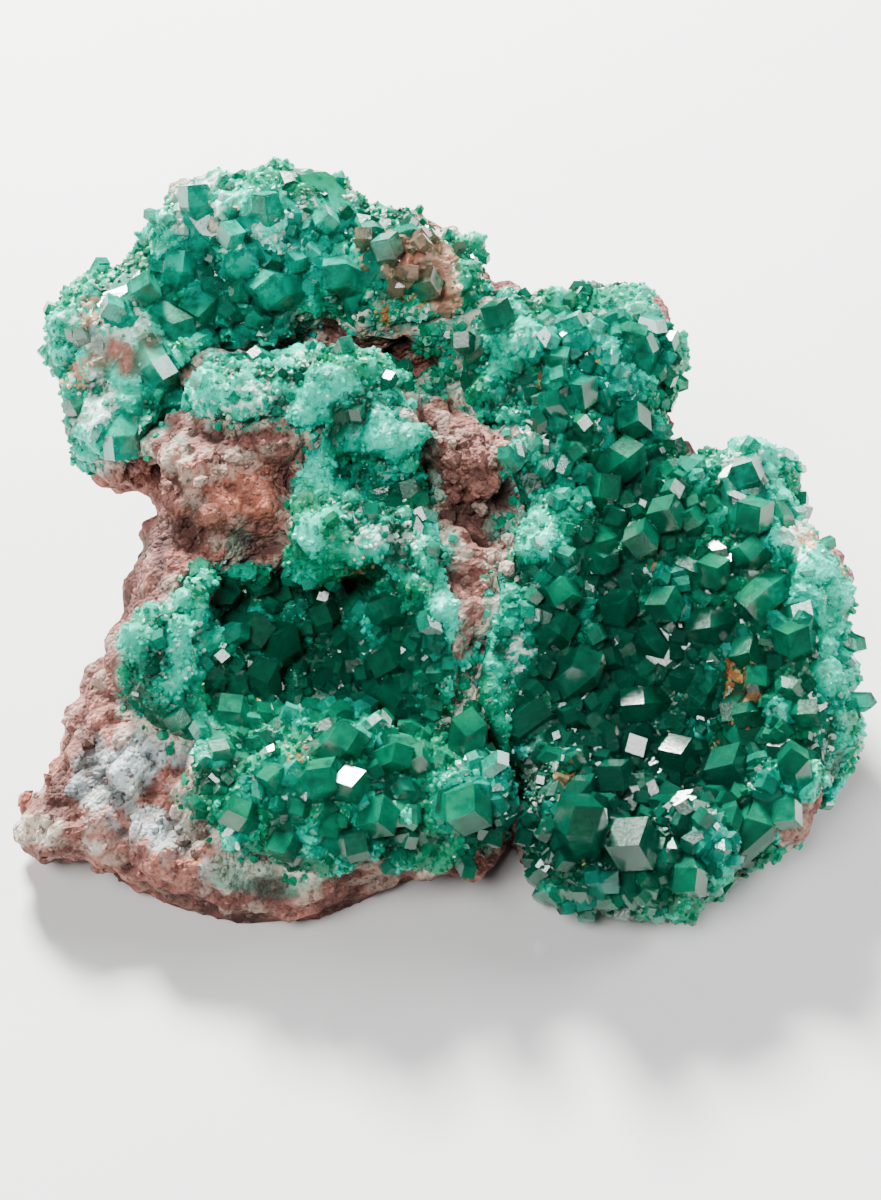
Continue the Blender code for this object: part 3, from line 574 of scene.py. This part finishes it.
# The dioptase crusts: a knobbly green skin on the rock, fused with glassy six-sided prisms closed by three rhombs,
# emerald where they are thick and turquoise where the skin is thin. The large prisms are the solids' own, and the
# skin is the solids' own worked finer.
RHOMB_DROP = 0.617
EMERALD = (0.000, 0.195, 0.082)
DEEP_EMERALD = (0.000, 0.040, 0.019)
TURQUOISE = (0.000, 0.390, 0.262)
PALE_TURQUOISE = (0.000, 0.720, 0.540)
WHITE_GREEN = (0.520, 0.780, 0.660)
PEACH = (0.680, 0.400, 0.260)
IRON = (0.420, 0.150, 0.050)
GOLD = (0.520, 0.380, 0.130)
TURQUOISE_SPOTS = (
    (-3.4, 4.4, 6.0, 3.2, 1.0), (0.6, -2.5, 2.6, 7.0, 1.0), (-23.2, -4.2, 4.2, 5.5, 1.0),
    (-5.6, -16.9, 3.6, 2.0, 0.7), (-13.5, -16.0, 5.0, 2.4, 0.8), (-19.0, -11.0, 2.4, 3.4, 0.8),
    (1.7, -17.8, 3.0, 2.6, 0.5), (-11.0, -20.0, 3.0, 2.0, 0.6), (5.2, 21.5, 3.2, 4.4, 0.9),
    (6.7, 15.3, 3.2, 5.5, 1.0), (9.0, 9.6, 3.2, 5.5, 1.0), (9.6, 3.4, 2.6, 5.5, 0.8),
    (5.8, -3.4, 2.6, 5.0, 0.9), (-20.4, 16.9, 4.5, 2.8, 1.0), (-11.9, 16.9, 7.0, 2.8, 1.0),
    (-4.4, 14.0, 4.5, 5.0, 0.9), (-8.0, 8.5, 2.8, 4.5, 0.8), (-19.0, 32.0, 7.0, 5.4, 1.0),
    (-12.5, 29.4, 5.0, 5.0, 1.0), (-29.7, 14.4, 4.0, 5.0, 1.0), (-27.5, 21.0, 6.0, 7.0, 1.0),
    (-17.0, 20.5, 6.0, 3.0, 0.9), (25.4, 10.6, 5.0, 3.6, 1.0), (31.5, 1.5, 3.0, 7.0, 0.9),
    (33.2, -8.5, 2.0, 9.0, 1.0), (29.6, -17.4, 3.4, 5.0, 1.0), (24.0, -21.5, 3.4, 2.4, 0.6),
    (-5.0, 28.0, 6.0, 4.4, 0.9), (13.0, 21.5, 7.0, 4.4, 0.95), (15.6, 16.0, 4.0, 4.0, 0.5),
    (17.6, 25.0, 3.0, 2.4, 0.7),
)
PALE_SPOTS = (
    (-20.2, 33.2, 3.8, 3.0, 0.7), (-14.6, 31.4, 5.0, 3.6, 0.5), (-27.8, 23.6, 3.6, 3.0, 0.8),
    (25.4, 11.4, 2.4, 1.4, 0.7), (30.2, 5.0, 1.4, 1.4, 0.8), (-12.0, -16.4, 3.0, 1.6, 0.4),
    (-17.0, 16.6, 6.0, 1.8, 0.45), (-29.0, 17.0, 3.0, 3.4, 0.7), (-21.8, -3.4, 2.4, 3.0, 0.25),
    (32.0, -12.0, 1.2, 2.4, 0.4), (20.0, -22.2, 1.8, 1.2, 0.6), (-4.0, 5.6, 4.0, 1.4, 0.45),
    (21.4, -8.4, 1.2, 1.2, 0.5), (17.0, 2.5, 2.2, 1.6, 0.4), (26.5, -1.0, 3.0, 2.4, 0.3),
    (6.6, -4.4, 1.4, 2.0, 0.5), (-3.0, 27.4, 5.0, 3.4, 0.4), (9.0, 18.0, 2.0, 2.0, 0.35),
)
BRIGHT_SPOTS = (
    (-15.5, 29.5, 9.0, 5.5, 0.85), (-15.0, 21.8, 8.0, 4.0, 0.6), (13.0, 20.5, 6.0, 5.0, 0.55),
    (-8.0, 15.2, 6.0, 3.6, 0.6), (-27.5, 21.0, 6.0, 6.0, 0.6), (-28.0, 14.0, 5.0, 5.0, 0.5),
    (27.0, 10.0, 5.0, 4.0, 0.4), (1.0, -2.0, 2.0, 6.0, 0.4),
)
# Painted shade: patches of the lower basin whose colours are darkened all through, standing in for shade.
PAINTED_SHADE_PATCHES = (
    (16.0, -18.0, 11.0, 8.0, 0.75), (24.0, -12.0, 6.0, 7.0, 0.45), (9.0, -14.0, 4.0, 9.0, 0.5),
)
# Patches of deep emerald: partly the crust's own deep green, partly painted shade in the cleft between the pocket
# and the basin and in dark hollows.
DEEP_GREEN_AND_SHADE_PATCHES = (
    (-9.4, -6.0, 9.0, 6.5, 0.55), (6.0, 25.0, 4.0, 2.6, 0.7), (18.0, -7.0, 10.0, 10.5, 0.55),
    (-4.6, 9.6, 4.0, 2.0, 0.7), (-19.0, 27.0, 3.4, 2.4, 0.5), (18.0, 4.0, 5.0, 6.0, 0.45),
    (-10.8, 22.6, 3.4, 2.2, 0.9), (-8.0, -21.5, 9.0, 2.6, 0.6), (4.0, -22.0, 3.0, 2.4, 0.6),
    (14.0, -19.0, 9.0, 6.0, 0.8), (23.0, -14.0, 5.0, 5.0, 0.6), (-23.0, -8.0, 2.6, 4.0, 0.4),
    (16.0, 8.6, 4.0, 3.4, 0.5), (13.0, -11.0, 4.0, 3.4, 0.8), (7.0, -16.5, 3.6, 6.0, 0.95),
    (8.0, -7.0, 2.6, 5.0, 0.6),
)
IRON_SPOTS = (
    (-9.8, 0.8, 2.2, 1.6, 0.35), (-3.4, -2.5, 1.4, 2.2, 0.4), (-3.0, -5.5, 1.2, 1.2, 0.8),
    (-11.9, -12.6, 2.4, 1.4, 0.4), (-17.0, -8.5, 1.6, 1.6, 0.5), (-14.0, -10.0, 1.2, 2.0, 0.35),
    (11.4, -19.0, 1.5, 5.4, 1.0), (28.6, -4.4, 2.6, 1.5, 1.0), (25.6, -8.0, 1.6, 3.0, 1.0),
    (17.8, 3.4, 1.6, 1.2, 0.5), (12.7, 21.2, 1.6, 1.2, 0.6), (8.9, 18.2, 1.2, 1.2, 0.6),
    (-2.5, 27.4, 3.0, 2.4, 0.4), (-4.8, 23.7, 1.0, 3.0, 0.6), (19.4, -13.4, 1.2, 1.6, 0.4),
    (22.0, -1.0, 1.2, 1.2, 0.4), (20.0, 9.0, 1.4, 1.2, 0.4), (24.0, -12.5, 1.2, 1.8, 0.4),
    (-6.6, 2.8, 1.2, 1.6, 0.4), (14.4, 23.4, 1.2, 1.0, 0.6),
)
PEACH_SPOTS = (
    (-28.6, 24.4, 2.4, 1.8, 0.7), (-2.4, 28.6, 4.4, 3.2, 0.95), (31.0, 5.5, 1.4, 1.4, 0.6),
    (-19.0, 32.0, 2.0, 2.0, 0.2), (0.6, 25.6, 2.0, 2.6, 0.8), (-30.6, 19.6, 1.6, 2.0, 0.6),
)
# Where the rock shows through the crust, brown and bare of crystals.
BARE_SPOTS = (
    (-27.6, 20.6, 2.8, 2.0, 1.0), (-1.6, 28.4, 3.2, 2.0, 0.75), (-24.8, 22.0, 1.4, 1.0, 0.8),
    (0.4, 25.0, 1.4, 2.0, 0.8),
)

# The share of points and small crystals painted nearly white all over the crusts, as painted glints.
SHARE_OF_PAINTED_GLINTS = 0.015


def dioptase_colours(points, shades, picks, thin):
    """Colour by place on the face: emerald, drawn in patches to deep green or turquoise, then lighter or darker
    by the shade, from -1 to 1; thin says how far the patches' turquoise is taken. The deep green patches are
    partly painted shade in clefts and hollows, and the painted shade patches darken the colour all through. A
    point whose pick is under a small share is painted nearly white, as a painted glint. The share of pale, peach
    or iron-stained spots in a patch is its strength: a point is one where its pick, from 0 to 1, is under that."""
    places = seen_places(points)
    colours = np.tile(np.array(EMERALD), (len(points), 1))
    drift = layered_noise(points, 4.0, 3, 51)
    colours = blended(colours, (0.1 + drift) * 0.9, TURQUOISE)
    colours = blended(colours, (-0.1 - drift) * 1.6, DEEP_EMERALD)
    # Deep emerald in patches, partly painted shade in the clefts and hollows.
    colours = blended(colours, patches(places, DEEP_GREEN_AND_SHADE_PATCHES, 1.2, 52), DEEP_EMERALD)
    colours = blended(colours, patches(places, TURQUOISE_SPOTS, 1.2, 53) * (thin + 0.4 * shades), TURQUOISE)
    colours = blended(colours, shades * 0.6 - 0.42, PALE_TURQUOISE)
    bright = patches(places, BRIGHT_SPOTS, 1.6, 59) * (0.5 + 0.5 * shades)
    colours = blended(colours, bright, PALE_TURQUOISE)
    colours = blended(colours, -shades * 1.0 - 0.1, DEEP_EMERALD)
    # Painted shade: colours darkened in the patches of the lower basin.
    colours *= 1 - patches(places, PAINTED_SHADE_PATCHES, 0.8, 63)[:, None]
    # Painted glints: points whose pick is under a small share are made nearly white.
    colours = np.where((picks < SHARE_OF_PAINTED_GLINTS)[:, None], np.array(WHITE_GREEN), colours)
    stains = (
        (PALE_SPOTS, WHITE_GREEN, 1), (PEACH_SPOTS, PEACH, 1), (IRON_SPOTS, IRON, 1), (IRON_SPOTS, GOLD, 0.5),
    )
    for seed, (spots, colour, share) in enumerate(stains, 54):
        chosen = patches(places, spots, 1.2, seed) * share > picks
        colours = np.where(chosen[:, None], np.array(colour) * (0.85 + 0.3 * shades)[:, None], colours)
    bare = patches(places, BARE_SPOTS, 1.0, 58) * (0.8 + 0.4 * shades)
    return np.clip(blended(colours, bare * 1.2, np.array(BROWN) * 1.3), 0, 1)


ONE_PLANE = 0.9999995
CRYSTAL_ANGLES = (
    0.5,
    math.sqrt(3) * RHOMB_DROP / math.sqrt(1 + 4 * RHOMB_DROP ** 2),
    (1 - 2 * RHOMB_DROP ** 2) / (1 + 4 * RHOMB_DROP ** 2),
)
ANGLE_SLACK = 0.0006
SMALLEST_FACE = 0.01


def neighbours(ends):
    """The pairs of triangles that share an edge: all edges sorted, equal ones next to each other."""
    edges = np.sort(np.concatenate([ends[:, [0, 1]], ends[:, [1, 2]], ends[:, [2, 0]]]), axis=1)
    owners = np.tile(np.arange(len(ends)), 3)
    order = np.lexsort((edges[:, 1], edges[:, 0]))
    edges, owners = edges[order], owners[order]
    same = (edges[1:] == edges[:-1]).all(axis=1)
    return owners[:-1][same], owners[1:][same]


def crystal_faces(ends, normals, areas):
    """Which triangles belong to crystals: those in a plane that meets another at one of a crystal's own angles,
    prism to prism, prism to rhomb or rhomb to rhomb. Triangles in one plane share a mark, found by giving each
    pair of such neighbours the lower of its marks until nothing changes."""
    first, second = neighbours(ends)
    cosines = (normals[first] * normals[second]).sum(axis=1)
    flat = cosines > ONE_PLANE
    marks = np.arange(len(areas))
    while True:
        fresh = marks.copy()
        low = np.minimum(marks[first[flat]], marks[second[flat]])
        np.minimum.at(fresh, first[flat], low)
        np.minimum.at(fresh, second[flat], low)
        if (fresh == marks).all():
            break
        marks = fresh
    near = np.abs(cosines[:, None] - np.array(CRYSTAL_ANGLES)).min(axis=1) < ANGLE_SLACK
    met = near & (np.minimum(areas[first], areas[second]) > SMALLEST_FACE)
    hits = np.bincount(marks[np.concatenate([first[met], second[met]])], minlength=len(marks))
    return hits[marks] > 0


dioptase_finish = Finish("dioptase", IOR=1.6, Transmission_Weight=0.6, Specular_IOR_Level=0.33)
gem_place = dioptase_finish.node("ShaderNodeTexCoord", outlet="Object")
tint = dioptase_finish.node("ShaderNodeAttribute", {"attribute_name": "tint"}, outlet="Color")
veil = dioptase_finish.noise(gem_place, 900.0, 4.0, 0.6)
gem_deep = dioptase_finish.mix((veil - 0.44) * 3.5, tint, (0.0, 0.030, 0.018, 1.0))
gem_colour = dioptase_finish.mix(0.11, gem_deep, (0.0, 0.60, 0.34, 1.0))
etch = dioptase_finish.noise(gem_place, 3500.0, 2.0)
gem_inlets = {"Strength": 0.15, "Distance": 0.00005, "Height": etch}
gem_bump = dioptase_finish.node("ShaderNodeBump", None, gem_inlets)
dioptase_finish.surface(Base_Color=gem_colour, Roughness=0.07 + 0.20 * etch, Normal=gem_bump)

crust_finish = Finish(
    "dioptase_crust", IOR=1.5, Specular_IOR_Level=0.25, Subsurface_Weight=0.15, Subsurface_Scale=0.0005
)
crust_finish.shader.inputs["Subsurface Radius"].default_value = (0.15, 1.0, 0.75)
crust_place = crust_finish.node("ShaderNodeTexCoord", outlet="Object")
crust_tint = crust_finish.node("ShaderNodeAttribute", {"attribute_name": "tint"}, outlet="Color")
crumb = crust_finish.noise(crust_place, 2400.0, 4.0, 0.7)
crust_cloud = crust_finish.noise(crust_place, 700.0, 3.0)
crust_dark = crust_finish.mix((crumb - 0.47) * 2.4, crust_tint, (0.0, 0.060, 0.030, 1.0))
crust_light = crust_finish.mix((crust_cloud - 0.58) * 2.0, crust_dark, (0.0, 0.42, 0.31, 1.0))
crust_inlets = {"Strength": 0.6, "Distance": 0.0002, "Height": crumb * 0.7 + crust_cloud * 0.3}
crust_bump = crust_finish.node("ShaderNodeBump", None, crust_inlets)
crust_finish.surface(Base_Color=crust_light, Roughness=0.04 + 0.16 * crumb, Normal=crust_bump)

CRUST_GRAIN = 0.27
CRYSTAL_CLEAR = (0.05, 0.55)
CRYSTAL_SINK = 0.4
SKIN_DROP = 0.6
# Relief of the skin: knobs and beads by size, steepness and share of their height, ripples by wavelength and height,
# then the lift of the whole and the deepest and highest push.
KNOBS = (2.8, 0.9, 0.8)
BEADS = (1.1, 0.8, 0.8)
RIPPLES = (3.2, 0.4)
SKIN_LIFT = 0.12
SKIN_PUSH = (-0.45, 1.1)
BED_REACH = 0.9
BED_FACING = 0.2
PRISM_SHADE = {"pocket_crystals": -0.3, "basin_crystals": -0.4, "back_crystals": 0.4}
PRISM_THIN = {"pocket_crystals": 0.4, "basin_crystals": 0.4, "back_crystals": 0.9}


def bed_side(mesh):
    """Which points of a crust's mesh lie on its bed: those close to the rock whose normals turn towards it."""
    bed, away = nearest_places(mesh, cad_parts["host_rock"].data)
    towards = ((bed - points_of(mesh)) * normals_of(mesh)).sum(axis=1) / np.maximum(away, 0.01)
    return (away < BED_REACH) & (towards > BED_FACING)


def dress_crust(node, seed):
    """Two pieces for a crust: its crystals as they are, and its skin worked finer, pushed out into knobs, and
    drawn in under the crystals so that their faces stay bare. Returned are the open skin's triangles."""
    crystal_mesh = baked(merged_copy(node))
    crystal_mesh.shade_flat()
    ends, corners, normals, areas = triangles_of(crystal_mesh)
    crystal = crystal_faces(ends, normals, areas)
    crystal_points = points_of(crystal_mesh)
    sunk = ~bed_side(crystal_mesh)
    sunk[ends[crystal].ravel()] = False
    crystal_points -= normals_of(crystal_mesh) * (sunk * SKIN_DROP)[:, None]
    move_points(crystal_mesh, crystal_points)
    shades = gradient_noise(crystal_points / 2.2, seed + 1) * 1.6 + PRISM_SHADE[node]
    unstained = np.ones(len(crystal_points))
    put_colours(crystal_mesh, "tint", dioptase_colours(crystal_points, shades, unstained, PRISM_THIN[node]))
    placed(node + "_prisms", crystal_mesh, dioptase_finish)

    bare = mesh_of("bare", corners[crystal].reshape(-1, 3), np.arange(crystal.sum() * 3).reshape(-1, 3))
    skin_mesh = fine_copy(node, CRUST_GRAIN)
    points, ways = points_of(skin_mesh), normals_of(skin_mesh)
    low, high = CRYSTAL_CLEAR
    covered = 1 - np.clip((nearest_places(skin_mesh, bare)[1] - low) / (high - low), 0, 1)
    on_bed = bed_side(skin_mesh)
    knobs, knob_own = facets(points, KNOBS[0], KNOBS[1], seed + 2)
    beads, bead_own = facets(points, BEADS[0], BEADS[1], seed + 3)
    relief = KNOBS[2] * (knobs - knobs.mean()) + BEADS[2] * (beads - beads.mean())
    relief += layered_noise(points, RIPPLES[0], 3, seed + 4) * RIPPLES[1]
    push = np.clip(relief + SKIN_LIFT, *SKIN_PUSH) * (1 - covered) - CRYSTAL_SINK * covered
    points += ways * (push * np.where(on_bed, 0, 1))[:, None]
    points[:, 2] = np.maximum(points[:, 2], 0.05)
    move_points(skin_mesh, points)
    skin_tone_and_relief_shade = gradient_noise(points / 0.4, seed + 5) * 0.6 + (bead_own - bead_own.mean()) * 1.2 - 0.1
    skin_tone_and_relief_shade += (knob_own - knob_own.mean()) * 1.0
    # Painted shade and light: the skin's colour is darker in the hollows of its relief and lighter on its knobs.
    skin_tone_and_relief_shade += relief * 1.7
    picks = np.clip(0.5 + 0.9 * gradient_noise(points / 0.5, seed + 6), 0.06, 1)
    put_colours(skin_mesh, "tint", dioptase_colours(points, skin_tone_and_relief_shade, picks, 0.8))
    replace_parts(placed(node + "_skin", skin_mesh, crust_finish), node)
    ends, corners, normals, areas = triangles_of(skin_mesh)
    open_areas = areas * ((1 - covered) * np.where(on_bed, 0, 1))[ends].mean(axis=1)
    return corners, normals, open_areas, relief[ends].mean(axis=1)


grounds = {}
for number, crust in enumerate(CRUSTS):
    grounds[crust] = dress_crust(crust, 100 + 10 * number)


# The druse: crystals by the thousand between the large ones, crowded in the hollows, and a sugar of the smallest
# all over. They are short prisms closed by three rhombs, each standing on the crust at a lean of its own.
def prisms(name, feet, axes, spins, radii, lengths, shades, picks):
    """Prisms as one mesh. In each one's own frame, ring points stand at radius times the cosine and sine of sixty
    degree steps, at the foot and at the shoulder; every second shoulder point is lowered by a fixed share of the
    radius, and the apex is raised by it. The frame is two unit vectors across the axis, turned by the spin."""
    count = len(feet)
    steps = np.arange(6) * math.pi / 3
    helper = np.where(np.abs(axes[:, 2:3]) < 0.9, [[0.0, 0.0, 1.0]], [[1.0, 0.0, 0.0]])
    side = np.cross(helper, axes)
    side /= np.linalg.norm(side, axis=1)[:, None]
    other = np.cross(axes, side)
    angle = spins[:, None] + steps
    across = side[:, None, :] * np.cos(angle)[..., None] + other[:, None, :] * np.sin(angle)[..., None]
    ring = feet[:, None, :] + across * radii[:, None, None]
    drop = RHOMB_DROP * radii[:, None] * (np.arange(6) % 2 == 0)
    shoulder = ring + axes[:, None, :] * (lengths[:, None] - drop)[..., None]
    apex = feet + axes * (lengths + RHOMB_DROP * radii)[:, None]
    points = np.concatenate([ring, shoulder, apex[:, None, :]], axis=1).reshape(-1, 3)

    faces = [(0, 2, 1), (0, 3, 2), (0, 4, 3), (0, 5, 4)]
    for i in range(6):
        j = (i + 1) % 6
        faces += [(i, j, 6 + j), (i, 6 + j, 6 + i), (12, 6 + i, 6 + j)]
    triangles = (np.array(faces)[None] + np.arange(count)[:, None, None] * 13).reshape(-1, 3)
    mesh = mesh_of(name, points, triangles)
    mesh.shade_flat()
    spread = np.repeat(np.arange(count), 13)
    put_colours(mesh, "tint", dioptase_colours(feet, shades, picks, 0.95)[spread])
    return mesh


DRUSE_BEDS = (
    (-9.4, -5.6, 11.0, 8.0, 1.0), (-8.0, -16.0, 12.5, 5.0, 0.7), (19.0, -6.0, 13.0, 18.0, 1.0),
    (15.0, 10.0, 7.0, 8.0, 1.0), (13.5, 19.0, 7.0, 7.0, 0.8), (-18.0, 25.5, 6.0, 5.0, 0.9),
    (-8.0, 29.0, 9.0, 4.0, 0.5), (16.0, -21.0, 10.0, 6.0, 0.9), (26.0, 6.0, 5.0, 4.0, 0.4),
    (1.0, -17.0, 5.0, 5.0, 0.8),
)
# Crystals of a larger radius than this take no pale, peach or iron stain and no painted glint.
LARGEST_STAINED = 0.33
# Two sizes of growth: how many to the square millimetre in the beds and off them, smallest and largest radius,
# shortest and longest length in radii, how deep they are sunk, and how far they lean.
GROWTHS = {
    "druse": (1.3, 0.05, 0.38, 1.05, 0.7, 1.5, 0.7, 0.5),
    "sugar": (3.8, 2.2, 0.10, 0.30, 0.6, 1.6, 0.2, 0.7),
}

for number, crust in enumerate(CRUSTS):
    draw = np.random.default_rng(500 + number)
    corners, normals, open_areas, relief = grounds[crust]
    middles = seen_places(corners.mean(axis=1))
    crowded = patches(middles, DRUSE_BEDS, 0.6, 60)
    bald = patches(middles, BARE_SPOTS, 1.0, 58)
    for kind, (in_beds, elsewhere, small, large, short, long, sink, lean) in GROWTHS.items():
        weights = open_areas * (elsewhere + (in_beds - elsewhere) * crowded) * (1 - bald)
        wanted = int(weights.sum())
        feet, ways, sources = sown(draw, corners, normals, weights, wanted)
        radii = small * (large / small) ** draw.random(wanted) ** 1.3
        axes = ways + draw.normal(size=ways.shape) * lean
        axes /= np.linalg.norm(axes, axis=1)[:, None]
        lengths = radii * draw.uniform(short, long, wanted) + sink
        spins = draw.random(wanted) * math.pi
        # Painted shade and light: small crystals in the skin's hollows are coloured darker and those on its knobs
        # lighter, over a random tone.
        shades = draw.uniform(-0.7, 0.7, wanted) + relief[sources] * 1.5
        picks = draw.random(wanted)
        picks = np.where(radii > LARGEST_STAINED, 0.5 + 0.5 * picks, picks)
        name = crust + "_" + kind
        growth = prisms(name, feet - axes * sink, axes, spins, radii, lengths, shades, picks)
        placed(name, growth, dioptase_finish if kind == "druse" else crust_finish)


# The fringe: pale grains of the same mineral that fray the border of each crust and spill onto the brown rock.
# Each is a small prism of its own, grown on the rock a little way off the crust.
FRINGE_SPOTS = (
    (0.2, 21.0, 2.6, 4.0, 1.0), (3.2, -7.4, 2.2, 3.6, 1.0), (-4.6, 5.6, 2.0, 1.6, 0.6),
    (5.4, 6.4, 1.4, 1.4, 0.8),
)
FRINGE_REACH = 1.1
FRINGE_START = 0.5
FRINGE_PER_MM2 = 4.0
FRINGE_RADII = (0.12, 4.2)
FRINGE_SINK = 0.15
fringe_draw = np.random.default_rng(91)
fringe_near = np.clip(1.2 - crust_away[rock_ends].mean(axis=1) / FRINGE_REACH, 0, 1)
fringe_spilt = patches(rock_middles, FRINGE_SPOTS, 0.5, 62)
fringe_near = np.maximum(fringe_near, fringe_spilt * (crust_away[rock_ends].mean(axis=1) < STAIN_REACH))
fringe_weights = rock_areas * fringe_near * FRINGE_PER_MM2
fringe_weights *= (crust_away[rock_ends].min(axis=1) > FRINGE_START) & off_base
fringe_count = int(fringe_weights.sum())
fringe_feet, fringe_ways, _ = sown(fringe_draw, rock_corners, rock_ways, fringe_weights, fringe_count)
fringe_axes = fringe_ways + fringe_draw.normal(size=fringe_ways.shape) * 0.7
fringe_axes /= np.linalg.norm(fringe_axes, axis=1)[:, None]
fringe_radii = FRINGE_RADII[0] * FRINGE_RADII[1] ** fringe_draw.random(fringe_count) ** 1.4
fringe_mesh = prisms(
    "fringe_crystals", fringe_feet - fringe_axes * FRINGE_SINK, fringe_axes,
    fringe_draw.random(fringe_count) * math.pi, fringe_radii, fringe_radii + FRINGE_SINK,
    fringe_draw.uniform(-0.6, 1, fringe_count), fringe_draw.random(fringe_count),
)
placed("fringe_crystals", fringe_mesh, crust_finish)
